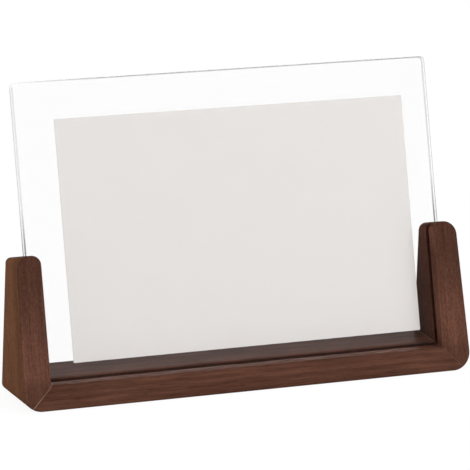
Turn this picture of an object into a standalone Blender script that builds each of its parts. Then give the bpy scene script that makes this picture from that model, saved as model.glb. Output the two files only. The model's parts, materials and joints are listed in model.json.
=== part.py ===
# Photo display: two clear acrylic sheets with a print between them, held leaning in a low walnut stand.
# Metres, +Z up, front towards -Y. The origin lies on the table, under the middle of the stand.
import math

import bmesh
import bpy
from mathutils import Matrix, Vector

# Acrylic sheets and print
SHEET_WIDTH = 0.178
SHEET_HEIGHT = 0.125
SHEET_THICKNESS = 0.002
SHEET_CORNER_RADIUS = 0.002
SHEET_LEAN = math.radians(14)
PRINT_WIDTH = 0.150
PRINT_HEIGHT = 0.0985
PRINT_THICKNESS = 0.00025
PRINT_RISE = 0.0108  # lower edge of the print above the foot of the sheets
PRINT_SHIFT = 0.0027  # the print sits a little to the right

# Walnut stand
STAND_DEPTH = 0.0379  # at the table
STAND_HEIGHT = 0.0608  # to the front edge of the uprights' tops, which are cut square to the lean
RAIL_HEIGHT = 0.00975
UPRIGHT_WIDTH = 0.0122  # at the table
UPRIGHT_TAPER = 0.0019  # each upright is this much narrower at its top
FRONT_WALL = 0.0062  # wood in front of the groove, square to it
TOP_BACK_WALL = 0.0068  # wood behind the groove on top of the uprights
RAIL_GROOVE_DEPTH = 0.0052  # along the lean
SIDE_GROOVE_DEPTH = 0.00515
FOOT_RADII = (0.008, 0.003)  # each rounding at the front and at the back
OUTER_TOP_RADII = (0.0058, 0.0018)
INNER_TOP_RADII = (0.0040, 0.0028)
EDGE_RADIUS = 0.0011
EDGE_SEGMENTS = 3
ARC_STEP = math.radians(12)
FLAT_ANGLE = math.radians(0.01)  # faces more twisted than this are split

# Mitre dowels
DOWEL_DIAMETER = 0.003
DOWEL_COVER = 0.0016  # wood left between a dowel's end and the table
DOWEL_CHAMFER = 0.0003
DOWEL_SIDES = 24
DOWEL_PLACES = ("front", "rear")
DOWEL_END_ANGLE = math.radians(60)  # edges sharper than this get the chamfer

# Clearances
PRINT_GAP = 0.0002
GROOVE_GAP = 0.0003
MITRE_GAP = 0.0002
DOWEL_GAP = 0.0002

# Colour, roughness, metallic, transmission
WALNUT = ((0.117, 0.058, 0.038), 0.42, 0.0, 0.0)
BEECH = ((0.50, 0.34, 0.20), 0.6, 0.0, 0.0)
ACRYLIC = ((0.96, 0.97, 0.97), 0.03, 0.0, 1.0)
PAPER = ((0.78, 0.75, 0.73), 0.5, 0.0, 0.0)

# Sizes that follow from the ones above
GROOVE_WIDTH = 2 * (SHEET_THICKNESS + PRINT_GAP + GROOVE_GAP) + PRINT_THICKNESS
OPENING_HALF = SHEET_WIDTH / 2 + GROOVE_GAP - SIDE_GROOVE_DEPTH
FOOT_HALF = OPENING_HALF + UPRIGHT_WIDTH
TOP_DEPTH = FRONT_WALL + GROOVE_WIDTH + TOP_BACK_WALL
BACK_HEIGHT = STAND_HEIGHT - TOP_DEPTH * math.sin(SHEET_LEAN)  # to the back edge of the tops
WELD = 1e-6


def front_face(z):
    return -STAND_DEPTH / 2 + z * math.tan(SHEET_LEAN)


def groove_middle(z):
    return front_face(z) + (FRONT_WALL + GROOVE_WIDTH / 2) / math.cos(SHEET_LEAN)


def groove_back(z):
    return groove_middle(z) + GROOVE_WIDTH / 2 / math.cos(SHEET_LEAN)


def back_face(z):
    top = front_face(STAND_HEIGHT) + TOP_DEPTH * math.cos(SHEET_LEAN)
    return STAND_DEPTH / 2 + (top - STAND_DEPTH / 2) * z / BACK_HEIGHT


def outer_face(z):
    return FOOT_HALF - UPRIGHT_TAPER * z / STAND_HEIGHT


def new_collection(name):
    collection = bpy.data.collections.new(name)
    bpy.context.scene.collection.children.link(collection)
    return collection


def clear_scene():
    for obj in list(bpy.data.objects):
        bpy.data.objects.remove(obj, do_unlink=True)


def add_object(name, mesh, collection, parent=None):
    obj = bpy.data.objects.new(name, mesh)
    obj.parent = parent
    collection.objects.link(obj)
    return obj


def give_finish(obj, finish):
    colour, roughness, metallic, transmission = finish
    material = bpy.data.materials.new(obj.name)
    material.use_nodes = True
    shader = material.node_tree.nodes["Principled BSDF"]
    shader.inputs["Base Color"].default_value = (*colour, 1)
    shader.inputs["Roughness"].default_value = roughness
    shader.inputs["Metallic"].default_value = metallic
    shader.inputs["Transmission Weight"].default_value = transmission
    obj.data.materials.append(material)


def mesh_from(bm, name):
    bmesh.ops.recalc_face_normals(bm, faces=bm.faces)
    mesh = bpy.data.meshes.new(name)
    bm.to_mesh(mesh)
    bm.free()
    return mesh


def rounded_outline(corners):
    # Each corner is (x, y, radius), listed anticlockwise; a rounded one becomes an arc.
    points = []
    for index, (x, y, radius) in enumerate(corners):
        corner = Vector((x, y))
        if radius == 0:
            points.append(corner)
            continue
        to_last = (Vector(corners[index - 1][:2]) - corner).normalized()
        to_next = (Vector(corners[(index + 1) % len(corners)][:2]) - corner).normalized()
        half = to_last.angle(to_next) / 2
        centre = corner + (to_last + to_next).normalized() * radius / math.sin(half)
        spoke = corner + to_last * radius / math.tan(half) - centre
        sweep = math.pi - 2 * half
        steps = max(2, round(sweep / ARC_STEP))
        for step in range(steps + 1):
            points.append(centre + Matrix.Rotation(sweep * step / steps, 2) @ spoke)
    return points


def standing_plate(corners, thickness):
    # A flat outline, filled, given its thickness and stood up with that thickness along Y.
    curve = bpy.data.curves.new("outline", "CURVE")
    curve.dimensions = "2D"
    curve.fill_mode = "BOTH"
    curve.extrude = thickness / 2
    points = rounded_outline(corners)
    spline = curve.splines.new("POLY")
    spline.points.add(len(points) - 1)
    for target, point in zip(spline.points, points):
        target.co = (point.x, point.y, 0, 1)
    spline.use_cyclic_u = True
    guide = add_object("outline", curve, bpy.context.scene.collection)
    evaluated = guide.evaluated_get(bpy.context.evaluated_depsgraph_get())
    mesh = bpy.data.meshes.new_from_object(evaluated)
    bm = bmesh.new()
    bm.from_mesh(mesh)
    bmesh.ops.remove_doubles(bm, verts=bm.verts, dist=WELD)
    bmesh.ops.rotate(bm, verts=bm.verts, matrix=Matrix.Rotation(math.pi / 2, 3, "X"))
    bpy.data.objects.remove(guide)
    bpy.data.curves.remove(curve)
    bpy.data.meshes.remove(mesh)
    return bm


def trim(bm, point, outward):
    # Cuts away what lies outside the plane and closes the cut.
    everything = bm.verts[:] + bm.edges[:] + bm.faces[:]
    cut = bmesh.ops.bisect_plane(
        bm, geom=everything, plane_co=point, plane_no=outward, clear_outer=True
    )
    rim = [edge for edge in cut["geom_cut"] if isinstance(edge, bmesh.types.BMEdge)]
    bmesh.ops.contextual_create(bm, geom=rim)


def stand_outline(top, foot_radius, outer_radius, inner_radius):
    half = outer_face(top)
    fit = min(1, (half - OPENING_HALF) / (outer_radius + inner_radius))  # both roundings fit the top
    outer = fit * outer_radius
    inner = fit * inner_radius
    return rounded_outline(
        (
            (-FOOT_HALF, 0, foot_radius),
            (FOOT_HALF, 0, foot_radius),
            (half, top, outer),
            (OPENING_HALF, top, inner),
            (OPENING_HALF, RAIL_HEIGHT, 0),
            (-OPENING_HALF, RAIL_HEIGHT, 0),
            (-OPENING_HALF, top, inner),
            (-half, top, outer),
        )
    )


def stand_blank():
    # The whole stand in one piece, ruled between its front and back outlines, with soft edges.
    bm = bmesh.new()
    tops = ((STAND_HEIGHT, front_face), (BACK_HEIGHT, back_face))
    radii = zip(FOOT_RADII, OUTER_TOP_RADII, INNER_TOP_RADII)
    front, back = (
        [bm.verts.new((point.x, face(point.y), point.y)) for point in stand_outline(top, *three)]
        for (top, face), three in zip(tops, radii)
    )
    bm.faces.new(front)
    bm.faces.new(reversed(back))
    for index in range(len(front)):
        last = index - 1
        bm.faces.new((front[last], back[last], back[index], front[index]))
    bmesh.ops.recalc_face_normals(bm, faces=bm.faces)
    sharp = [edge for edge in bm.edges if edge.is_convex and edge.calc_face_angle() > 2 * ARC_STEP]
    bmesh.ops.bevel(
        bm, geom=sharp, offset=EDGE_RADIUS, segments=EDGE_SEGMENTS, profile=0.5, affect="EDGES"
    )
    bmesh.ops.connect_verts_nonplanar(bm, angle_limit=FLAT_ANGLE, faces=bm.faces)
    return bm


def inner_corner(side):
    return Vector((side * OPENING_HALF, 0, RAIL_HEIGHT))


def mitre_line(side):
    # Along the mitre, from the inner corner down and out at 45 degrees.
    return Vector((side, 0, -1)).normalized()


def mitre_normal(side):
    # Square to the mitre, from the rail into the upright.
    line = mitre_line(side)
    return Vector((-line.z * side, 0, line.x * side))


def build_members(parts):
    rail = stand_blank()
    for side in (-1, 1):
        normal = mitre_normal(side)
        trim(rail, inner_corner(side) - normal * MITRE_GAP / 2, normal)
    members = {"bottom_rail": rail}
    for name, side in (("left_upright", -1), ("right_upright", 1)):
        upright = stand_blank()
        normal = mitre_normal(side)
        trim(upright, inner_corner(side) + normal * MITRE_GAP / 2, -normal)
        members[name] = upright
    return {name: add_object(name, mesh_from(bm, name), parts) for name, bm in members.items()}


def cut(obj, cutter):
    modifier = obj.modifiers.new(cutter.name, "BOOLEAN")
    modifier.operation = "DIFFERENCE"
    modifier.solver = "EXACT"
    modifier.object = cutter


def make_cutter(cutter):
    cutter.hide_render = True
    cutter.display_type = "WIRE"


def box(size, middle):
    bm = bmesh.new()
    bmesh.ops.create_cube(bm, size=1)
    bmesh.ops.scale(bm, verts=bm.verts, vec=size)
    bmesh.ops.translate(bm, verts=bm.verts, vec=middle)
    return bm


def add_seat(parts):
    # The middle of the groove's floor, turned so that its Z runs up the sheets.
    floor = RAIL_HEIGHT - RAIL_GROOVE_DEPTH * math.cos(SHEET_LEAN)
    seat = add_object("sheet_seat", None, parts)
    seat.location = (0, groove_middle(floor), floor)
    seat.rotation_euler = (-SHEET_LEAN, 0, 0)
    return seat


def cut_groove(members, seat, cutters):
    # One leaning slot makes the rail's groove and those of both uprights, open at their tops.
    width = SHEET_WIDTH + 2 * GROOVE_GAP
    length = STAND_HEIGHT / math.cos(SHEET_LEAN) + GROOVE_WIDTH
    slot = box((width, GROOVE_WIDTH, length), (0, 0, length / 2))
    cutter = add_object("sheet_groove", mesh_from(slot, "sheet_groove"), cutters, seat)
    make_cutter(cutter)
    for member in members.values():
        cut(member, cutter)


def build_sheets(parts, seat):
    half = SHEET_WIDTH / 2
    corners = (
        (-half, 0, SHEET_CORNER_RADIUS),
        (half, 0, SHEET_CORNER_RADIUS),
        (half, SHEET_HEIGHT, SHEET_CORNER_RADIUS),
        (-half, SHEET_HEIGHT, SHEET_CORNER_RADIUS),
    )
    from_middle = PRINT_THICKNESS / 2 + PRINT_GAP + SHEET_THICKNESS / 2
    for name, side in (("front_sheet", -1), ("rear_sheet", 1)):
        bm = standing_plate(corners, SHEET_THICKNESS)
        sheet = add_object(name, mesh_from(bm, name), parts, seat)
        sheet.location = (0, side * from_middle, GROOVE_GAP)
        give_finish(sheet, ACRYLIC)


def build_print(parts, seat):
    bm = box((PRINT_WIDTH, PRINT_THICKNESS, PRINT_HEIGHT), (0, 0, PRINT_HEIGHT / 2))
    paper = add_object("photo_print", mesh_from(bm, "photo_print"), parts, seat)
    paper.location = (PRINT_SHIFT, 0, GROOVE_GAP + PRINT_RISE)
    give_finish(paper, PAPER)


def rod(radius, length):
    bm = bmesh.new()
    bmesh.ops.create_cone(
        bm, cap_ends=True, segments=DOWEL_SIDES, radius1=radius, radius2=radius, depth=length
    )
    return bm


def dowel_frame(side):
    # The middle of the mitre, which ends on the rounded foot, and half a dowel's length there.
    line = mitre_line(side)
    radius = max(FOOT_RADII)
    from_centre = inner_corner(side) - Vector((side * (FOOT_HALF - radius), 0, radius))
    along = from_centre.dot(line)
    length = math.sqrt(along**2 - from_centre.length_squared + radius**2) - along
    middle = inner_corner(side) + line * length / 2
    normal = mitre_normal(side)
    drop = middle.z - DOWEL_COVER - DOWEL_DIAMETER / 2 * abs(line.z)
    return middle, drop / normal.z


def build_dowels(parts, cutters, members):
    radius = DOWEL_DIAMETER / 2
    for word, side in (("left", -1), ("right", 1)):
        middle, half = dowel_frame(side)
        front = groove_back(middle.z)
        room = back_face(middle.z) - front
        turn = mitre_normal(side).to_track_quat("Z", "Y").to_euler()
        for index, place in enumerate(DOWEL_PLACES):
            y = front + room * (index + 1) / (len(DOWEL_PLACES) + 1)
            name = f"{word}_{place}_dowel"
            dowel = add_object(name, mesh_from(rod(radius, 2 * half), name), parts)
            ends = dowel.modifiers.new("chamfer", "BEVEL")
            ends.width = DOWEL_CHAMFER
            ends.segments = 1
            ends.limit_method = "ANGLE"
            ends.angle_limit = DOWEL_END_ANGLE
            give_finish(dowel, BEECH)
            hole_mesh = mesh_from(rod(radius + DOWEL_GAP, 2 * (half + DOWEL_GAP)), name + "_hole")
            hole = add_object(name + "_hole", hole_mesh, cutters)
            make_cutter(hole)
            for obj in (dowel, hole):
                obj.location = (middle.x, y, middle.z)
                obj.rotation_euler = turn
            cut(members["bottom_rail"], hole)
            cut(members[word + "_upright"], hole)


def main():
    clear_scene()
    parts = new_collection("acrylic_photo_display")
    cutters = new_collection("cutters")
    members = build_members(parts)
    for member in members.values():
        give_finish(member, WALNUT)
    seat = add_seat(parts)
    cut_groove(members, seat, cutters)
    build_sheets(parts, seat)
    build_print(parts, seat)
    build_dowels(parts, cutters, members)


main()
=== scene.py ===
import bmesh
import bpy
import json
import math
from mathutils import Matrix, Vector


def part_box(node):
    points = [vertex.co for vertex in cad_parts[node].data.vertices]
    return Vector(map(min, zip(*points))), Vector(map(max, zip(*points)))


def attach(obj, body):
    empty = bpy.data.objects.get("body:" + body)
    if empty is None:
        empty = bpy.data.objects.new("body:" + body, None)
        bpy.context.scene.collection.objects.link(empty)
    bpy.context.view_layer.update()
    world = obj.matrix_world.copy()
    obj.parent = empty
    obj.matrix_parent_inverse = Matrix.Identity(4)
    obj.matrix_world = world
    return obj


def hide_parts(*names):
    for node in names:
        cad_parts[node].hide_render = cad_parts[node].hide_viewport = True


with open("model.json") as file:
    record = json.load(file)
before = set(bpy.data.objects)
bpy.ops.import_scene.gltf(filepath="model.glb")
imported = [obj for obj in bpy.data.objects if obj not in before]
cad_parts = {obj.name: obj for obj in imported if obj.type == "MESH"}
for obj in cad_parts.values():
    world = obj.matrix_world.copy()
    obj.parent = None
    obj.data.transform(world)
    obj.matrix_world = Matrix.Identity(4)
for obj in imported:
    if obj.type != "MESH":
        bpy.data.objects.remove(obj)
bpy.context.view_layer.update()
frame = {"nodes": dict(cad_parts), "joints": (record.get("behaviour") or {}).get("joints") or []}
mm = 0.001
liftAxis = Vector(frame["joints"][0]["axis"]).normalized()  # up the leaning sheets
lean = math.atan2(liftAxis.y, liftAxis.z)
outOfFront = Vector((0, -math.cos(lean), math.sin(lean)))  # square to the sheets, towards the viewer
throughDepth = Vector((0, 1, 0))
sideWords = {-1: "left", 1: "right"}
print("frame loaded, the sheets lean", round(math.degrees(lean), 2), "degrees")

# how near is near enough, where faces and edges are picked
touching = 0.01 * mm  # a point this near to a plane lies on it
squarely = 0.99       # a face whose normal goes this far along an axis is square to it
mainly = 0.9          # and this far, it mostly looks that way
hardly = 0.3          # and with less than this, it looks aside
alongSlack = 0.02     # an edge that strays less than this runs along an axis
roundAngle = 32       # degrees: faces that meet at less are shaded as one round


# small helpers

def linear(hexColour):
    # an sRGB hex value as Blender's linear colour
    steps = [int(hexColour[i:i + 2], 16) / 255 for i in (1, 3, 5)]
    return tuple(c / 12.92 if c <= 0.04045 else ((c + 0.055) / 1.055) ** 2.4 for c in steps) + (1.0,)


def grey(level):
    return (level, level, level, 1)


def addNode(tree, kind, inputs=None, stops=None, **settings):
    node = tree.nodes.new("ShaderNode" + kind)
    for key, value in settings.items():
        setattr(node, key, value)
    for socket, value in (inputs or {}).items():
        if isinstance(value, bpy.types.NodeSocket):
            tree.links.new(value, node.inputs[socket])
        else:
            node.inputs[socket].default_value = value
    if stops:
        ramp = node.color_ramp.elements
        while len(ramp) < len(stops):
            ramp.new(1)
        while len(ramp) > len(stops):
            ramp.remove(ramp[-1])
        for element, (place, colour) in zip(ramp, stops):
            element.position, element.color = place, colour
    return node


def newMaterial(name):
    material = bpy.data.materials.new(name)
    material.use_nodes = True
    material.node_tree.nodes.clear()
    return material, material.node_tree


def mottled(tree, place, scale, steps, hexColours, detail=2.0):
    # soft patches that go from one colour to the other
    patches = addNode(tree, "TexNoise", {"Vector": place, "Scale": scale, "Detail": detail}).outputs["Fac"]
    stops = [(step, linear(hexColour)) for step, hexColour in zip(steps, hexColours)]
    return addNode(tree, "ValToRGB", {"Fac": patches}, stops=stops).outputs["Color"]


def middleOf(node):
    low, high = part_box(node)
    return (low + high) / 2


def only(obj):
    bpy.ops.object.select_all(action="DESELECT")
    obj.select_set(True)
    bpy.context.view_layer.objects.active = obj


def startBox(name, size, middle=(0, 0, 0)):
    bpy.ops.object.select_all(action="DESELECT")
    bpy.ops.mesh.primitive_cube_add(size=1, location=middle, scale=size)
    bpy.ops.object.transform_apply(location=True, rotation=True, scale=True)
    obj = bpy.context.object
    obj.name = obj.data.name = name
    return obj


def copyOf(obj, name):
    only(obj)
    bpy.ops.object.duplicate()
    copy = bpy.context.object
    copy.name = copy.data.name = name
    return copy


def openEdit(obj):
    # edit mode, with everything selected
    only(obj)
    bpy.ops.object.mode_set(mode="EDIT")
    bpy.ops.mesh.select_all(action="SELECT")


def closeEdit():
    bpy.ops.object.mode_set(mode="OBJECT")


def pick(obj, kind, wanted):
    # edit mode, with those edges, faces or vertices selected that pass the test
    openEdit(obj)
    bpy.ops.mesh.select_mode(type=kind)
    bpy.ops.mesh.select_all(action="DESELECT")
    bm = bmesh.from_edit_mesh(obj.data)
    if kind == "FACE":
        bm.normal_update()
    for element in {"VERT": bm.verts, "EDGE": bm.edges, "FACE": bm.faces}[kind]:
        if wanted(element):
            element.select_set(True)
    if kind == "VERT":
        bm.select_flush_mode()
    bmesh.update_edit_mesh(obj.data)


def giveFaces(obj, wanted, slot):
    # hands the faces that pass the test to a material slot
    pick(obj, "FACE", wanted)
    obj.active_material_index = slot
    bpy.ops.object.material_slot_assign()
    closeEdit()


def roundEdges(obj, wanted, radius, segments):
    pick(obj, "EDGE", wanted)
    bpy.ops.mesh.bevel(offset=radius, segments=segments, profile=0.5, affect="EDGES")
    closeEdit()


def sawOff(obj, point, outward):
    # cuts on a plane, drops what is outside it and closes the cut
    openEdit(obj)
    bpy.ops.mesh.bisect(plane_co=point, plane_no=outward, use_fill=True, clear_outer=True,
                        threshold=0.001 * mm)
    closeEdit()


def cutAway(obj, cutter):
    only(obj)
    cutting = obj.modifiers.new("cut", "BOOLEAN")
    cutting.operation = "DIFFERENCE"
    cutting.solver = "EXACT"
    cutting.object = cutter
    bpy.ops.object.modifier_apply(modifier=cutting.name)
    bpy.data.objects.remove(cutter)


def mergeAndTurn(obj):
    # merges doubles and turns the faces outwards
    openEdit(obj)
    bpy.ops.mesh.remove_doubles(threshold=0.002 * mm)
    bpy.ops.mesh.normals_make_consistent(inside=False)
    closeEdit()


def leanBack(piece, middle):
    # leans a piece back with the sheets and takes it to its place
    only(piece)
    piece.rotation_euler = (-lean, 0, 0)
    piece.location = middle
    bpy.ops.object.transform_apply(location=True, rotation=True, scale=True)


def smoothRounds(obj):
    # smooth rounds beside faces that stay flat
    only(obj)
    bpy.ops.object.shade_smooth_by_angle(angle=math.radians(roundAngle))
    weighted = obj.modifiers.new("flat faces", "WEIGHTED_NORMAL")
    weighted.keep_sharp = True
    weighted.weight = 100
    bpy.ops.object.modifier_apply(modifier=weighted.name)


def isSharp(edge, angle=24):
    return len(edge.link_faces) == 2 and edge.is_convex and edge.calc_face_angle() > math.radians(angle)


def runsAlong(edge, axis):
    way = (edge.verts[1].co - edge.verts[0].co).normalized()
    return 1 - abs(way.dot(axis)) < alongSlack


# sizes of the sheets and of the walnut stand, which meet in the groove
sheet = dict(width=178 * mm, height=125 * mm, thickness=2 * mm, cornerRadius=2 * mm, cornerSteps=10,
             arris=0.5 * mm, innerArris=0.2 * mm, arrisSteps=2, arrisAngle=60)
stand = dict(depth=37.9 * mm, height=60.8 * mm, topDepth=18.25 * mm, railHeight=9.75 * mm,
             openingHalf=84.15 * mm, footHalf=96.35 * mm, taper=1.9 * mm,
             footRadii=(8 * mm, 3 * mm), outerTopRadii=(5.8 * mm, 1.8 * mm),  # at the front, at the back
             innerTopRadii=(4.0 * mm, 2.8 * mm), edgeRadius=1.1 * mm,
             footSteps=14, topSteps=12, edgeSteps=5,
             grooveWidth=5.25 * mm, grooveGap=0.3 * mm, grooveEase=0.6 * mm, easeSteps=3,
             mitreGap=0.2 * mm, glueFill=0.98,  # the share of the gap that the glue takes up
             dowelRadius=1.5 * mm, dowelSlack=0.2 * mm, boreSides=32,
             spareHeight=10 * mm,               # on the rough uprights, sawn off with their tops
             cornerSlack=0.6 * mm,              # an edge this near to a top corner belongs to it
             roundReach=(1.05, 1.15),           # picks a rounding: radii across and up from its corner
             outerFacing=(0.8, 0.35))           # how far outwards its flat and its roundings look

sheetMiddle = (middleOf("front_sheet") + middleOf("rear_sheet")) / 2
grooveAtTable = sheetMiddle.y - sheetMiddle.z * math.tan(lean)  # the sheets' middle, led down to the table
frontFace = stand["depth"] / 2 * math.cos(lean)  # the front of the stand, measured along outOfFront


# materials

# oiled walnut: planed, sanded and wiped with oil, so it is a warm dark brown with fine
# darker lines along the grain, short open pores, slow bands of tone and hardly any gloss
walnutLook = dict(
    shade="#472d23", body="#593a2f", light="#6b4839", pore="#38231a",
    # the outer sides are warmer and much lighter: partly the wood's own warmer tone, partly painted light for
    # the dimmer light on those sides
    litOuterShade="#6c4835", litOuterBody="#835942", litOuterLight="#986a50",
    hueSteps=(0.32, 0.50, 0.68),  # where in the pattern the dark, middle and light tones lie
    railShares=(0.55, 0.37, 0.08, 0.0),      # of streaks, bands, rings and mottle in the pattern
    uprightShares=(0.45, 0.17, 0.05, 0.33),
    streakLong=18 * mm, streakWide=0.55 * mm,  # the real fibres are finer, drawn coarse enough to show
    streakRough=0.62, bandLong=40 * mm, bandWide=6 * mm, mottle=1.1 * mm,
    poreLong=3.5 * mm, poreWide=0.4 * mm,      # real pores are 0.1 to 0.2 mm, drawn wider to show
    poreSteps=(0.60, 0.72), poreShare=0.5, poreRise=-0.8, bumpStrength=0.2, bumpHeight=0.1 * mm,
    driftLong=111.1 * mm, driftWide=29.41 * mm, wander=2 * mm,  # the grain wanders a little, in slow waves
    ringWidth=2.2 * mm, ringWaver=1.2, ringWaverScale=0.6, waveRate=20,  # radians to a metre of wave texture
    ior=1.5, sheen=0.0095, streakRange=(0.3, 0.7), roughLow=0.48, roughHigh=0.62)
uprightLook = dict(
    tones=((0.0, 0.92), (0.15, 0.95), (0.24, 1.25),  # share of its height, and the tone there
           (0.40, 1.25), (0.62, 0.97), (0.82, 0.79)),
    # painted light and shade on the inner side: lighter before the groove, darker behind it and lower down
    innerPaintedShading=((1.26, 0.76, 0.96, 1.7),   # before the groove: tone, from where to where it grows, how much
                (0.78, 0.52, 0.95, 2.2)),  # and behind the groove
    innerEdge=(0.9 * mm, 0.1 * mm),        # how deep in the wood the inner side's tone begins and is full
    toneTurn=(7 * mm, 9 * mm),             # how far behind the front face the one goes over to the other
    sheenFade=(0.85, 0.92), sheenLeft=0.4)
outerLook = dict(frontTone=0.76, fade=(3 * mm, 11 * mm), sheen=0.0)
# the top behind the groove is painted paler, as painted light
railLook = dict(landPaintedLight=1.1, topEdge=(0.3 * mm, 0.05 * mm), topRough=0.22, sheen=0.0014)

uprightTurn = (lean, math.radians(90), 0)  # the pattern's length runs up the leaning front of the uprights
boards = {  # turn, place in the tree, way to the pith
    "rail": ((0, 0, 0), (0.31, 0.02, 0.05), (0, 0.012, -0.047)),
    "left": (uprightTurn, (0.9, -0.13, 0.21), (0, 0.10, -0.32)),
    "right": (uprightTurn, (1.7, 0.27, -0.33), (0, -0.31, 0.40))}


def alongGrain(pattern):
    # the scale of a pattern of the walnut, from its length and width
    wide = 1 / walnutLook[pattern + "Wide"]
    return (1 / walnutLook[pattern + "Long"], wide, wide)


def walnutPatterns(tree, place, turn, shift, pith):
    look = walnutLook
    board = addNode(tree, "Mapping", {"Vector": place, "Rotation": turn, "Location": shift}).outputs[0]
    slow = addNode(tree, "Mapping", {"Vector": board, "Scale": alongGrain("drift")}).outputs[0]
    drift = addNode(tree, "TexNoise", {"Vector": slow, "Scale": 1.0, "Detail": 2.0}).outputs["Color"]
    bent = addNode(tree, "VectorMath", {0: drift, 1: (0, look["wander"], look["wander"]), 2: board},
                   operation="MULTIPLY_ADD").outputs[0]
    fibres = addNode(tree, "Mapping", {"Vector": bent, "Scale": alongGrain("streak")}).outputs[0]
    streaks = addNode(tree, "TexNoise", {"Vector": fibres, "Scale": 1.0, "Detail": 4.0,
                                         "Roughness": look["streakRough"]}).outputs["Fac"]
    broad = addNode(tree, "Mapping", {"Vector": bent, "Scale": alongGrain("band")}).outputs[0]
    bands = addNode(tree, "TexNoise", {"Vector": broad, "Scale": 1.0, "Detail": 2.0}).outputs["Fac"]
    heart = addNode(tree, "Mapping", {"Vector": bent, "Location": pith}).outputs[0]
    ringScale = 2 * math.pi / (look["waveRate"] * look["ringWidth"])
    rings = addNode(tree, "TexWave", {"Vector": heart, "Scale": ringScale, "Distortion": look["ringWaver"],
                                      "Detail": 2.0, "Detail Scale": look["ringWaverScale"]},
                    wave_type="RINGS", rings_direction="X").outputs["Fac"]
    mottle = addNode(tree, "TexNoise", {"Vector": place, "Scale": 1 / look["mottle"],
                                        "Detail": 2.0}).outputs["Fac"]
    short = addNode(tree, "Mapping", {"Vector": bent, "Scale": alongGrain("pore")}).outputs[0]
    pores = addNode(tree, "TexNoise", {"Vector": short, "Scale": 1.0, "Detail": 1.0}).outputs["Fac"]
    begin, full = look["poreSteps"]
    pores = addNode(tree, "ValToRGB", {"Fac": pores}, stops=[(begin, grey(0)), (full, grey(1))])
    return streaks, bands, rings, mottle, pores.outputs["Color"]


def uprightShade(tree, place):
    # darker towards the top, with painted light and shade on the inner side (lighter before the groove,
    # darker behind it and lower down), and less sheen at the very top
    look = uprightLook
    axes = addNode(tree, "SeparateXYZ", {0: place}).outputs
    across = addNode(tree, "Math", {0: axes["X"]}, operation="ABSOLUTE").outputs[0]
    height = addNode(tree, "Math", {0: axes["Z"], 1: stand["height"]}, operation="DIVIDE").outputs[0]
    tone = addNode(tree, "ValToRGB", {"Fac": height},  # halved, because a ramp ends at 1
                   stops=[(where, grey(level / 2)) for where, level in look["tones"]]).outputs["Color"]
    begin, full = (stand["openingHalf"] + deep for deep in look["innerEdge"])
    inner = addNode(tree, "MapRange", {"Value": across, "From Min": begin, "From Max": full}).outputs[0]
    # painted light before the groove, painted shade behind it
    front, rear = (addNode(tree, "MapRange", {"Value": height, "From Min": low, "From Max": top,
                                              "To Min": 2 * level, "To Max": 2 * level * rise}).outputs[0]
                   for level, low, top, rise in look["innerPaintedShading"])
    forward = addNode(tree, "VectorMath", {0: place, 1: outOfFront}, operation="DOT_PRODUCT").outputs["Value"]
    begin, full = (frontFace - deep for deep in look["toneTurn"])
    side = addNode(tree, "MapRange", {"Value": forward, "From Min": begin, "From Max": full,
                                      "To Min": front, "To Max": rear}).outputs[0]
    side = addNode(tree, "Mix", {"Factor": inner, "A": 2.0, "B": side}).outputs[0]
    tone = addNode(tree, "Math", {0: tone, 1: side}, operation="MULTIPLY").outputs[0]
    begin, full = look["sheenFade"]
    sheen = addNode(tree, "MapRange", {"Value": height, "From Min": begin, "From Max": full,
                                       "To Min": walnutLook["sheen"],
                                       "To Max": look["sheenLeft"] * walnutLook["sheen"]}).outputs[0]
    return tone, sheen


def outerShade(tree, place):
    # darker near the front
    forward = addNode(tree, "VectorMath", {0: place, 1: outOfFront}, operation="DOT_PRODUCT").outputs["Value"]
    begin, full = (frontFace - deep for deep in outerLook["fade"])
    return addNode(tree, "MapRange", {"Value": forward, "From Min": begin, "From Max": full,
                                      "To Min": outerLook["frontTone"], "To Max": 1.0},
                   interpolation_type="SMOOTHSTEP").outputs[0]


def railShade(tree, place):
    # a little paler on top, behind the groove: painted light for the sheen that top catches
    axes = addNode(tree, "SeparateXYZ", {0: place}).outputs
    begin, full = (stand["railHeight"] - deep for deep in railLook["topEdge"])
    onTop = addNode(tree, "MapRange", {"Value": axes["Z"], "From Min": begin, "From Max": full}).outputs[0]
    rear = addNode(tree, "Math", {0: axes["Y"], 1: grooveAtTable}, operation="GREATER_THAN").outputs[0]
    land = addNode(tree, "Math", {0: onTop, 1: rear}, operation="MULTIPLY").outputs[0]
    tone = addNode(tree, "MapRange", {"Value": land, "To Min": 1.0,
                                      "To Max": railLook["landPaintedLight"]}).outputs[0]
    return tone, onTop


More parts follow.
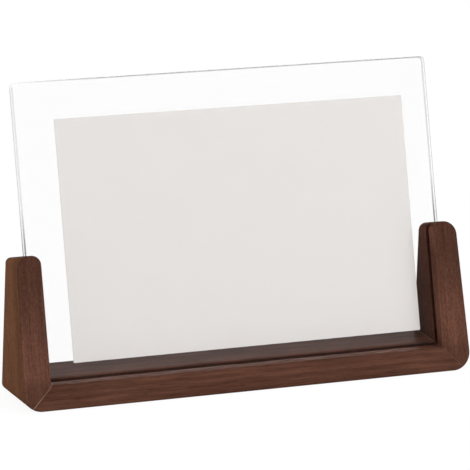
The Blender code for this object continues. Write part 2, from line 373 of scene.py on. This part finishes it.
def oiledWalnut(name, board, part):
    look = walnutLook
    material, tree = newMaterial(name)
    place = addNode(tree, "TexCoord").outputs["Object"]
    streaks, bands, rings, mottle, pores = walnutPatterns(tree, place, *boards[board])
    pattern = 0.0
    shares = look["railShares"] if part == "rail" else look["uprightShares"]
    for layer, share in zip((streaks, bands, rings, mottle), shares):
        pattern = addNode(tree, "Math", {0: layer, 1: share, 2: pattern}, operation="MULTIPLY_ADD").outputs[0]
    hues = ("litOuterShade", "litOuterBody", "litOuterLight") if part == "outer" else ("shade", "body", "light")
    wood = addNode(tree, "ValToRGB", {"Fac": pattern}, stops=[
        (where, linear(look[hue])) for where, hue in zip(look["hueSteps"], hues)]).outputs["Color"]
    low, high = look["streakRange"]
    rough = addNode(tree, "MapRange", {"Value": streaks, "From Min": low, "From Max": high,
                                       "To Min": look["roughHigh"], "To Max": look["roughLow"]}).outputs[0]
    if part == "upright":
        tone, sheen = uprightShade(tree, place)
    elif part == "outer":  # warmer and lighter, partly its own warmer tone and partly painted light; rubbed dull
        tone = outerShade(tree, place)
        sheen = outerLook["sheen"]
    else:  # the top of the rail is rubbed smooth
        tone, onTop = railShade(tree, place)
        sheen = railLook["sheen"]
        rough = addNode(tree, "Mix", {"Factor": onTop, "A": rough, "B": railLook["topRough"]}).outputs[0]
    wood = addNode(tree, "VectorMath", {0: wood, "Scale": tone}, operation="SCALE").outputs[0]
    poreShare = addNode(tree, "Math", {0: pores, 1: look["poreShare"]}, operation="MULTIPLY").outputs[0]
    colour = addNode(tree, "Mix", {"Factor": poreShare, "A": wood, "B": linear(look["pore"])},
                     data_type="RGBA").outputs["Result"]
    relief = addNode(tree, "Math", {0: pores, 1: look["poreRise"], 2: streaks},
                     operation="MULTIPLY_ADD").outputs[0]
    bump = addNode(tree, "Bump", {"Height": relief, "Strength": look["bumpStrength"],
                                  "Distance": look["bumpHeight"]}).outputs[0]
    shader = addNode(tree, "BsdfPrincipled", {"Base Color": colour, "Roughness": rough, "Normal": bump,
                                              "IOR": look["ior"], "Specular IOR Level": sheen})
    addNode(tree, "OutputMaterial", {"Surface": shader.outputs[0]})
    return material


# inside the groove the walnut is painted a dark red brown, as painted shade for the deep slot, with a fine,
# even mottle; it is dull, as the saw left it
grooveLook = dict(dark="#2c1812", body="#3a2019", steps=(0.4, 0.6), sawMark=0.7 * mm, rough=0.8, gloss=0.0)


def paintedGrooveShade(name):
    look = grooveLook
    material, tree = newMaterial(name)
    place = addNode(tree, "TexCoord").outputs["Object"]
    colour = mottled(tree, place, 1 / look["sawMark"], look["steps"], (look["dark"], look["body"]))
    shader = addNode(tree, "BsdfPrincipled", {"Base Color": colour, "Roughness": look["rough"],
                                              "Specular IOR Level": look["gloss"]})
    addNode(tree, "OutputMaterial", {"Surface": shader.outputs[0]})
    return material


# dried wood glue in the mitre: a broken hairline, paler than the oiled wood on the left and darker on the
# right
glueLook = dict(left=("#7a5c4d", "#a98a79"), right=("#54382d", "#6b4a3d"), steps=(0.4, 0.6), patch=3 * mm,
                rough=0.5, gloss=0.3)


def driedGlue(name, hexColours):
    look = glueLook
    material, tree = newMaterial(name)
    place = addNode(tree, "TexCoord").outputs["Object"]
    colour = mottled(tree, place, 1 / look["patch"], look["steps"], hexColours)
    shader = addNode(tree, "BsdfPrincipled", {"Base Color": colour, "Roughness": look["rough"],
                                              "Specular IOR Level": look["gloss"]})
    addNode(tree, "OutputMaterial", {"Surface": shader.outputs[0]})
    return material


# beech dowel rod: pale, straight, with small darker flecks, left unfinished
dowelLook = dict(body="#c9a57c", fleck="#a97f58", steps=(0.45, 0.7), fleckLong=2.5 * mm, fleckWide=0.3 * mm,
                 rough=0.7)


def beechRod(name):
    look = dowelLook
    material, tree = newMaterial(name)
    place = addNode(tree, "TexCoord").outputs["Object"]
    fleckScale = (1 / look["fleckWide"], 1 / look["fleckWide"], 1 / look["fleckLong"])
    grain = addNode(tree, "Mapping", {"Vector": place, "Scale": fleckScale}).outputs[0]
    colour = mottled(tree, grain, 1.0, look["steps"], (look["body"], look["fleck"]))
    shader = addNode(tree, "BsdfPrincipled", {"Base Color": colour, "Roughness": look["rough"]})
    addNode(tree, "OutputMaterial", {"Surface": shader.outputs[0]})
    return material


# cast acrylic: water clear on its faces, which carry only hairline wiping marks; its edges are
# sawn and sanded, so they look milky white, and their scraped outer arrises draw a thin grey line
acrylicLook = dict(
    face="#fefefe", edge="#f2f3f3", arris="#6f7171", passes="#ffffff", ior=1.49, gloss=0.12,
    faceClear=1.0, edgeClear=0.35, arrisClear=0.0,
    faceRough=(0.0, 0.006), edgeRough=(0.15, 0.30), arrisRough=(0.225, 0.45),  # between the marks, on them
    edgeThrough=((0.0, 0.75),),  # share of light that goes straight through, up the sheet
    arrisThrough=((0.47, 0.2), (0.60, 0.76), (0.985, 0.76), (0.993, 0.62)), rightShare=0.91,
    topPale=1.0, topPaleEnd=100 * mm, topBand=(0.955, 0.99),  # the top line fades away towards its left end
    markLong=30 * mm, markWide=0.5 * mm, markTurn=35, markSteps=(0.55, 0.8),
    sawWide=0.8 * mm, sawLong=8 * mm)


def edgeClearness(tree, place, through, topPale):
    # how much of the light goes straight through an edge, by its place on the sheet
    look = acrylicLook
    foot = sheetMiddle.dot(liftAxis) - sheet["height"] / 2
    left, right = -sheet["width"] / 2, sheet["width"] / 2
    up = addNode(tree, "VectorMath", {0: place, 1: liftAxis}, operation="DOT_PRODUCT").outputs["Value"]
    up = addNode(tree, "MapRange", {"Value": up, "From Min": foot,
                                    "From Max": foot + sheet["height"]}).outputs[0]
    share = addNode(tree, "ValToRGB", {"Fac": up},
                    stops=[(where, grey(level)) for where, level in through]).outputs["Color"]
    across = addNode(tree, "SeparateXYZ", {0: place}).outputs["X"]
    dim = addNode(tree, "MapRange", {"Value": across, "From Min": left, "From Max": right,
                                     "To Min": 1.0, "To Max": look["rightShare"]}).outputs[0]
    share = addNode(tree, "Math", {0: share, 1: dim}, operation="MULTIPLY").outputs[0]
    pale = addNode(tree, "MapRange", {"Value": across, "From Min": look["topPaleEnd"] + left,
                                      "From Max": left, "To Max": topPale}).outputs[0]
    begin, full = look["topBand"]
    atTop = addNode(tree, "MapRange", {"Value": up, "From Min": begin, "From Max": full}).outputs[0]
    pale = addNode(tree, "Math", {0: pale, 1: atTop}, operation="MULTIPLY").outputs[0]
    return addNode(tree, "Math", {0: share, 1: pale}, operation="MAXIMUM").outputs[0]


def castAcrylic(name, hexColour, stretch, clearness, roughness, through=None, topPale=0.0):
    look = acrylicLook
    material, tree = newMaterial(name)
    place = addNode(tree, "TexCoord").outputs["Object"]
    wiped = addNode(tree, "Mapping", {"Vector": place, "Rotation": (0, math.radians(look["markTurn"]), 0),
                                      "Scale": stretch}).outputs[0]
    marks = addNode(tree, "TexNoise", {"Vector": wiped, "Scale": 1.0, "Detail": 2.0}).outputs["Fac"]
    begin, full = look["markSteps"]
    rough = addNode(tree, "MapRange", {"Value": marks, "From Min": begin, "From Max": full,
                                       "To Min": roughness[0], "To Max": roughness[1]}).outputs[0]
    solid = addNode(tree, "BsdfPrincipled", {"Base Color": linear(hexColour), "Roughness": rough,
                                             "IOR": look["ior"], "Specular IOR Level": look["gloss"],
                                             "Transmission Weight": clearness})
    rays = addNode(tree, "LightPath").outputs  # light on its way to a dull surface goes straight through
    lit = addNode(tree, "Math", {0: rays["Is Shadow Ray"], 1: rays["Is Diffuse Ray"]},
                  operation="MAXIMUM").outputs[0]
    if through:
        straight = edgeClearness(tree, place, through, topPale)
    else:  # so does what came in by an edge, as it would after many bounces along the sheet
        straight = addNode(tree, "Math", {0: rays["Transparent Depth"], 1: 0.5},
                           operation="GREATER_THAN").outputs[0]
    lit = addNode(tree, "Math", {0: lit, 1: straight}, operation="MAXIMUM").outputs[0]
    passing = addNode(tree, "BsdfTransparent", {"Color": linear(look["passes"])})
    both = addNode(tree, "MixShader", {0: lit, 1: solid.outputs[0], 2: passing.outputs[0]})
    addNode(tree, "OutputMaterial", {"Surface": both.outputs[0]})
    return material


# photo paper: a smooth resin coating over white paper, left without a picture, in one even
# warm pale grey with a trace of mottle and a soft luster
paperLook = dict(front=("#e9e5e2", "#eae6e3"), back=("#efedea", "#f1efec"), steps=(0.35, 0.65),
                 mottle=14 * mm, lusterGrain=0.7 * mm, bumpStrength=0.08, bumpHeight=0.02 * mm,
                 frontRough=0.42, backRough=0.65, gloss=0.35)


def photoPaper(name, hexColours, roughness):
    look = paperLook
    material, tree = newMaterial(name)
    place = addNode(tree, "TexCoord").outputs["Object"]
    colour = mottled(tree, place, 1 / look["mottle"], look["steps"], hexColours, detail=3.0)
    grain = addNode(tree, "TexNoise", {"Vector": place, "Scale": 1 / look["lusterGrain"]}).outputs["Fac"]
    bump = addNode(tree, "Bump", {"Height": grain, "Strength": look["bumpStrength"],
                                  "Distance": look["bumpHeight"]}).outputs[0]
    shader = addNode(tree, "BsdfPrincipled", {"Base Color": colour, "Roughness": roughness, "Normal": bump,
                                              "Specular IOR Level": look["gloss"]})
    addNode(tree, "OutputMaterial", {"Surface": shader.outputs[0]})
    return material


railWalnut = oiledWalnut("oiled walnut rail", "rail", "rail")
leftWalnut = oiledWalnut("oiled walnut left upright", "left", "upright")
rightWalnut = oiledWalnut("oiled walnut right upright", "right", "upright")
# the outer sides, lighter partly by painted light
leftOuterLit = oiledWalnut("oiled walnut left outer side", "left", "outer")
rightOuterLit = oiledWalnut("oiled walnut right outer side", "right", "outer")
grooveShadeWalnut = paintedGrooveShade("walnut groove painted shade")
leftGlue = driedGlue("dried wood glue", glueLook["left"])
rightGlue = driedGlue("darker wood glue", glueLook["right"])
beech = beechRod("beech dowel rod")
alongWipe = (1 / acrylicLook["markLong"], 1 / acrylicLook["markWide"], 1 / acrylicLook["markWide"])
alongSaw = (1 / acrylicLook["sawWide"], 1 / acrylicLook["sawLong"], 1 / acrylicLook["sawWide"])
clearAcrylic = castAcrylic("cast acrylic face", acrylicLook["face"], alongWipe,
                           acrylicLook["faceClear"], acrylicLook["faceRough"])
edgeAcrylic = castAcrylic("cast acrylic sanded edge", acrylicLook["edge"], alongSaw,
                          acrylicLook["edgeClear"], acrylicLook["edgeRough"], acrylicLook["edgeThrough"])
arrisAcrylic = castAcrylic("cast acrylic scraped arris", acrylicLook["arris"], alongSaw,
                           acrylicLook["arrisClear"], acrylicLook["arrisRough"], acrylicLook["arrisThrough"],
                           acrylicLook["topPale"])
printFace = photoPaper("luster photo paper", paperLook["front"], paperLook["frontRough"])
printBack = photoPaper("photo paper back", paperLook["back"], paperLook["backRough"])
print("materials made")


# the walnut stand: one rail and two uprights, mitred at the feet

frontTop = Vector((0, stand["height"] * math.tan(lean) - stand["depth"] / 2, stand["height"]))
backTop = frontTop - outOfFront * stand["topDepth"]
backRun = stand["depth"] / 2 - backTop.y  # how far the sloping back stands out from its top to the table
backward = Vector((0, backTop.z, backRun)).normalized()


def roughStand():
    # a deep block in the shape of the stand's front, with tapered sides and rounded feet
    s = stand
    blank = startBox("stand blank", (2 * s["footHalf"], 4 * s["depth"], s["railHeight"]),
                     (0, 0, s["railHeight"] / 2))
    for side in (-1, 1):  # lines across the rail where the uprights begin
        openEdit(blank)
        bpy.ops.mesh.bisect(plane_co=(side * s["openingHalf"], 0, 0), plane_no=(1, 0, 0))
        closeEdit()
    pick(blank, "FACE", lambda f: f.normal.z > mainly and abs(f.calc_center_median().x) > s["openingHalf"])
    rise = s["height"] + s["spareHeight"] - s["railHeight"]
    bpy.ops.mesh.extrude_region_move(TRANSFORM_OT_translate={"value": (0, 0, rise)})
    closeEdit()
    for side in (-1, 1):
        sawOff(blank, (side * s["footHalf"], 0, 0), Vector((side * s["height"], 0, s["taper"])).normalized())
    openEdit(blank)
    bpy.ops.mesh.dissolve_limited(angle_limit=math.radians(0.3))
    closeEdit()
    roundEdges(blank, lambda e: runsAlong(e, throughDepth) and isSharp(e) and e.verts[0].co.z < mm,
               s["footRadii"][0], s["footSteps"])
    return blank


def drawIn(blank, place, height, radii):
    # pulled in about the corner on the back face, so the rounding narrows towards the back
    wide, high = (radii[0] * reach for reach in stand["roundReach"])
    for side in (-1, 1):
        corner = backTop + Vector((side * place, backRun * (1 - height / backTop.z), height - backTop.z))
        pick(blank, "VERT", lambda v: abs((v.co - backTop).dot(backward)) < touching
             and abs(v.co.x - corner.x) < wide and abs(v.co.z - height) < high)
        bpy.ops.transform.resize(value=(radii[1] / radii[0],) * 3, center_override=corner)
        closeEdit()


def roundTop(blank, place, radii):
    def isNear(vert):
        return abs(abs(vert.co.x) - place) < stand["cornerSlack"] and vert.co.z > backTop.z - mm

    def atCorner(edge):
        return runsAlong(edge, outOfFront) and isSharp(edge) and all(isNear(v) for v in edge.verts)

    roundEdges(blank, atCorner, radii[0], stand["topSteps"])
    drawIn(blank, place, backTop.z, radii)


def standBlank():
    s = stand
    blank = roughStand()
    sawOff(blank, frontTop, liftAxis)  # the tops are square to the lean
    sawOff(blank, frontTop, outOfFront)
    sawOff(blank, backTop, backward)
    mergeAndTurn(blank)
    drawIn(blank, s["footHalf"], 0, s["footRadii"])
    roundTop(blank, s["footHalf"] - s["taper"] * backTop.z / s["height"], s["outerTopRadii"])
    roundTop(blank, s["openingHalf"], s["innerTopRadii"])
    mergeAndTurn(blank)
    roundEdges(blank, isSharp, s["edgeRadius"], s["edgeSteps"])
    return blank


def cutGroove(blank):
    # one leaning slot makes the rail's groove and those of both uprights
    s = stand
    bottom = sheetMiddle - liftAxis * (sheet["height"] / 2 + s["grooveGap"])
    long = 1.5 * s["height"]  # well out of the tops
    slot = startBox("groove cutter", (sheet["width"] + 2 * s["grooveGap"], s["grooveWidth"], long))
    leanBack(slot, bottom + liftAxis * long / 2)
    cutAway(blank, slot)
    mergeAndTurn(blank)
    roundEdges(blank, isSharp, s["grooveEase"], s["easeSteps"])  # the groove's mouth, eased with paper


def inGroove(face):
    # a wall or the floor of the slot, but not its eased mouth
    here = face.calc_center_median() - sheetMiddle
    across = abs(here.dot(outOfFront))
    facing = abs(face.normal.dot(outOfFront))
    wall = abs(across - stand["grooveWidth"] / 2) < touching and facing > squarely
    ends = across < stand["grooveWidth"] / 2 and facing < hardly
    return (wall or ends) and abs(here.x) < sheet["width"] / 2 + stand["grooveGap"] + touching


def isOuter(face, side):
    # the outer side with its roundings at the foot and the top, up to the arrises at the front and back
    square, slanting = stand["outerFacing"]
    sideways = face.normal.x * side
    forward = abs(face.normal.dot(outOfFront))
    return sideways > square or sideways > slanting and forward < slanting


def mitrePlane(side):
    # a point on the mitre and the way from the rail into the upright
    corner = Vector((side * stand["openingHalf"], 0, stand["railHeight"]))
    return corner, Vector((side, 0, 1)).normalized()


def boreDowels(member, side):
    way = mitrePlane(side)[1]
    for place in ("front", "rear"):
        node = frame["nodes"][f"{sideWords[side]}_{place}_dowel"]
        reach = [v.co.dot(way) for v in node.data.vertices]
        bpy.ops.object.select_all(action="DESELECT")
        bpy.ops.mesh.primitive_cylinder_add(vertices=stand["boreSides"],
                                            radius=stand["dowelRadius"] + stand["dowelSlack"],
                                            depth=max(reach) - min(reach) + 2 * stand["dowelSlack"],
                                            location=middleOf(node.name),
                                            rotation=way.to_track_quat("Z", "Y").to_euler())
        cutAway(member, bpy.context.object)


blank = standBlank()
cutGroove(blank)
print("stand blank", len(blank.data.polygons), "faces")

half = stand["mitreGap"] / 2
members = {"bottomRail": copyOf(blank, "bottomRail")}
for side, word in sideWords.items():
    corner, way = mitrePlane(side)
    sawOff(members["bottomRail"], corner - way * half, way)
    upright = members[word + "Upright"] = copyOf(blank, word + "Upright")
    sawOff(upright, corner + way * half, -way)
    glue = members[word + "GlueLine"] = copyOf(blank, word + "GlueLine")
    sawOff(glue, corner + way * half * stand["glueFill"], way)
    sawOff(glue, corner - way * half * stand["glueFill"], -way)
for side, word in sideWords.items():
    for name in ("bottomRail", word + "Upright", word + "GlueLine"):
        boreDowels(members[name], side)
bpy.data.objects.remove(blank)
woods = {"bottomRail": railWalnut, "leftUpright": leftWalnut, "rightUpright": rightWalnut,
         "leftGlueLine": leftGlue, "rightGlueLine": rightGlue}
outerWoods = {"leftUpright": (leftOuterLit, -1), "rightUpright": (rightOuterLit, 1)}
nodesOf = {"bottomRail": "bottom_rail", "leftUpright": "left_upright", "rightUpright": "right_upright"}
for name, member in members.items():
    mergeAndTurn(member)
    smoothRounds(member)
    member.data.materials.clear()
    member.data.materials.append(woods[name])
    if name in nodesOf:  # the walls and floor of the groove
        # the groove's walls and floor get the dark painted shade
        member.data.materials.append(grooveShadeWalnut)
        giveFaces(member, inGroove, 1)
    if name in outerWoods:
        wood, side = outerWoods[name]
        member.data.materials.append(wood)
        giveFaces(member, lambda f: isOuter(f, side), 2)
    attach(member, "stand")
    if name in nodesOf:
        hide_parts(nodesOf[name])
    print(name, len(member.data.polygons), "faces")

for name, node in frame["nodes"].items():  # the dowels stay as they are, in bare beech
    if name.endswith("_dowel"):
        node.material_slots[0].material = beech


# the two acrylic sheets, sawn and sanded alike

def acrylicSheet(name, node, body, outside):
    s = sheet
    piece = startBox(name, (s["width"], s["thickness"], s["height"]))
    roundEdges(piece, lambda e: runsAlong(e, throughDepth), s["cornerRadius"], s["cornerSteps"])
    for way, radius in ((outside, s["arris"]), (-outside, s["innerArris"])):
        roundEdges(piece, lambda e: isSharp(e, s["arrisAngle"]) and e.verts[0].co.y * way > 0,
                   radius, s["arrisSteps"])
    piece.data.materials.append(clearAcrylic)
    piece.data.materials.append(edgeAcrylic)
    piece.data.materials.append(arrisAcrylic)

    def isEdge(face):
        return abs(face.normal.y) < squarely

    def isScraped(face):
        return isEdge(face) and face.calc_center_median().y * outside > s["thickness"] / 2 - s["arris"]

    giveFaces(piece, isEdge, 1)
    giveFaces(piece, isScraped, 2)
    leanBack(piece, middleOf(node))
    smoothRounds(piece)
    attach(piece, body)
    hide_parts(node)


acrylicSheet("frontSheet", "front_sheet", "front_sheet", -1)
acrylicSheet("rearSheet", "rear_sheet", "rear_sheet", 1)
print("acrylic sheets made")


# the blank print between them, trimmed with barely softened corners
printSize = dict(width=150 * mm, height=98.5 * mm, thickness=0.25 * mm, cornerRadius=0.3 * mm, cornerSteps=3)


def photoPrint():
    s = printSize
    piece = startBox("photoPrint", (s["width"], s["thickness"], s["height"]))
    roundEdges(piece, lambda e: runsAlong(e, throughDepth), s["cornerRadius"], s["cornerSteps"])
    piece.data.materials.append(printFace)
    piece.data.materials.append(printBack)
    giveFaces(piece, lambda f: f.normal.y > -mainly, 1)
    leanBack(piece, middleOf("photo_print"))
    smoothRounds(piece)
    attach(piece, "print")
    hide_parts("photo_print")


photoPrint()
print("print made")


# the pale floor: white to the eye where nothing shades it, and it keeps the stand's shadow
studio = dict(floorSide=60.0, floorDrop=0.05 * mm, floorWhite="#f4f4f4", floorShare=0.85, floorGlow=1.07,
              floorThrough=1.25,  # makes up for what the sheets take away
              lightFront=0.40, lightBack=0.23, lightTurn=(-0.5, 0.5), white=1.0,
              mirrorFront=0.04, mirrorLow=0.3, mirrorRise=(0.0, 0.14), mirrorTurn=(-0.3, 0.4),
              lampAim=(0, 0, 0.05))
lamps = {
    "key": dict(at=(-1.1, -1.5, 1.5), size=1.3, power=10.5),
    "front": dict(at=(-0.4, -2.0, 0.9), size=1.2, power=8.3),
    "fill": dict(at=(1.4, -1.3, 0.9), size=1.2, power=15.5),
    "overhead": dict(at=(0.0, 0.4, 2.0), size=1.6, power=2.6),
    "back": dict(at=(0.5, 2.2, 0.8), size=1.2, power=14.5)}


def seenAndMirrored(tree):
    # tells what the eye sees straight or through clear acrylic, and what it sees in a gloss
    rays = addNode(tree, "LightPath").outputs
    seen = addNode(tree, "Math", {0: rays["Is Camera Ray"], 1: rays["Is Transmission Ray"]},
                   operation="MAXIMUM").outputs[0]
    mirrored = addNode(tree, "Math", {0: rays["Glossy Depth"], 1: 0.5}, operation="GREATER_THAN").outputs[0]
    return seen, mirrored


def makeFloor():
    bpy.ops.object.select_all(action="DESELECT")
    bpy.ops.mesh.primitive_plane_add(size=studio["floorSide"], location=(0, 0, -studio["floorDrop"]))
    floor = bpy.context.object
    floor.name = "floor"
    material, tree = newMaterial("white studio paper")
    seen, mirrored = seenAndMirrored(tree)
    through = addNode(tree, "LightPath").outputs["Is Transmission Ray"]
    paper = addNode(tree, "BsdfDiffuse", {"Color": linear(studio["floorWhite"])})
    share = addNode(tree, "Math", {0: seen, 1: studio["floorShare"]}, operation="MULTIPLY").outputs[0]
    level = addNode(tree, "Mix", {"Factor": through, "A": studio["floorGlow"],
                                  "B": studio["floorThrough"]}).outputs[0]
    glow = addNode(tree, "Emission", {"Color": grey(1), "Strength": level})
    both = addNode(tree, "MixShader", {0: share, 1: paper.outputs[0], 2: glow.outputs[0]})
    even = addNode(tree, "Emission", {"Color": grey(1), "Strength": studio["mirrorLow"]})
    whole = addNode(tree, "MixShader", {0: mirrored, 1: both.outputs[0],
                                        2: even.outputs[0]})  # so no horizon shows in the sheets
    addNode(tree, "OutputMaterial", {"Surface": whole.outputs[0]})
    floor.data.materials.append(material)


def makeWorld():
    world = bpy.data.worlds.new("soft studio")
    bpy.context.scene.world = world
    world.use_nodes = True
    tree = world.node_tree
    tree.nodes.clear()
    seen, mirrored = seenAndMirrored(tree)
    way = addNode(tree, "SeparateXYZ", {0: addNode(tree, "TexCoord").outputs["Generated"]}).outputs
    begin, full = studio["lightTurn"]
    lit = addNode(tree, "MapRange", {"Value": way["Y"], "From Min": begin, "From Max": full,
                                     "To Min": studio["lightFront"],
                                     "To Max": studio["lightBack"]}).outputs[0]
    begin, full = studio["mirrorRise"]
    room = addNode(tree, "MapRange", {"Value": way["Z"], "From Min": begin, "From Max": full,
                                      "To Min": studio["mirrorLow"], "To Max": studio["mirrorFront"]},
                   interpolation_type="SMOOTHSTEP").outputs[0]
    begin, full = studio["mirrorTurn"]
    room = addNode(tree, "MapRange", {"Value": way["Y"], "From Min": begin, "From Max": full,
                                      "To Min": room, "To Max": studio["white"]},
                   interpolation_type="SMOOTHSTEP").outputs[0]  # a dark room in front, a white wall behind
    level = addNode(tree, "Mix", {"Factor": seen, "A": lit, "B": studio["white"]}).outputs[0]
    level = addNode(tree, "Mix", {"Factor": mirrored, "A": level, "B": room}).outputs[0]
    sky = addNode(tree, "Background", {"Color": grey(1), "Strength": level})
    addNode(tree, "OutputWorld", {"Surface": sky.outputs[0]})


def makeLamps():
    for name, lamp in lamps.items():
        bpy.ops.object.select_all(action="DESELECT")
        bpy.ops.object.light_add(type="AREA", location=lamp["at"])
        light = bpy.context.object
        light.name = name
        light.data.shape = "DISK"
        light.data.size = lamp["size"]
        light.data.energy = lamp["power"]
        way = Vector(studio["lampAim"]) - Vector(lamp["at"])
        light.rotation_euler = way.to_track_quat("-Z", "Y").to_euler()


makeFloor()
makeWorld()
makeLamps()


# the camera: a long lens a little above and to the left
camera = dict(lens=225.43, sensorWidth=36, clipEnd=200, target=(-1.374 * mm, 0, 61.36 * mm),
              distance=1201.95 * mm, left=18.347, above=13.489, roll=-0.36)


def makeCamera():
    c = camera
    left, above, roll = (math.radians(c[angle]) for angle in ("left", "above", "roll"))
    back = Vector((-math.sin(left) * math.cos(above), -math.cos(left) * math.cos(above), math.sin(above)))
    right = Vector((math.cos(left), -math.sin(left), 0))
    up = back.cross(right)
    sideways = right * math.cos(roll) + up * math.sin(roll)
    upwards = up * math.cos(roll) - right * math.sin(roll)
    bpy.ops.object.select_all(action="DESELECT")
    bpy.ops.object.camera_add()
    view = bpy.context.object
    view.data.lens = c["lens"]
    view.data.sensor_width = c["sensorWidth"]
    view.data.clip_end = c["clipEnd"]
    view.matrix_world = Matrix.Translation(Vector(c["target"]) + back * c["distance"]) @ Matrix(
        (sideways, upwards, back)).transposed().to_4x4()
    bpy.context.scene.camera = view


makeCamera()
bpy.context.scene.view_settings.view_transform = "Standard"
print("floor, lamps and camera ready")
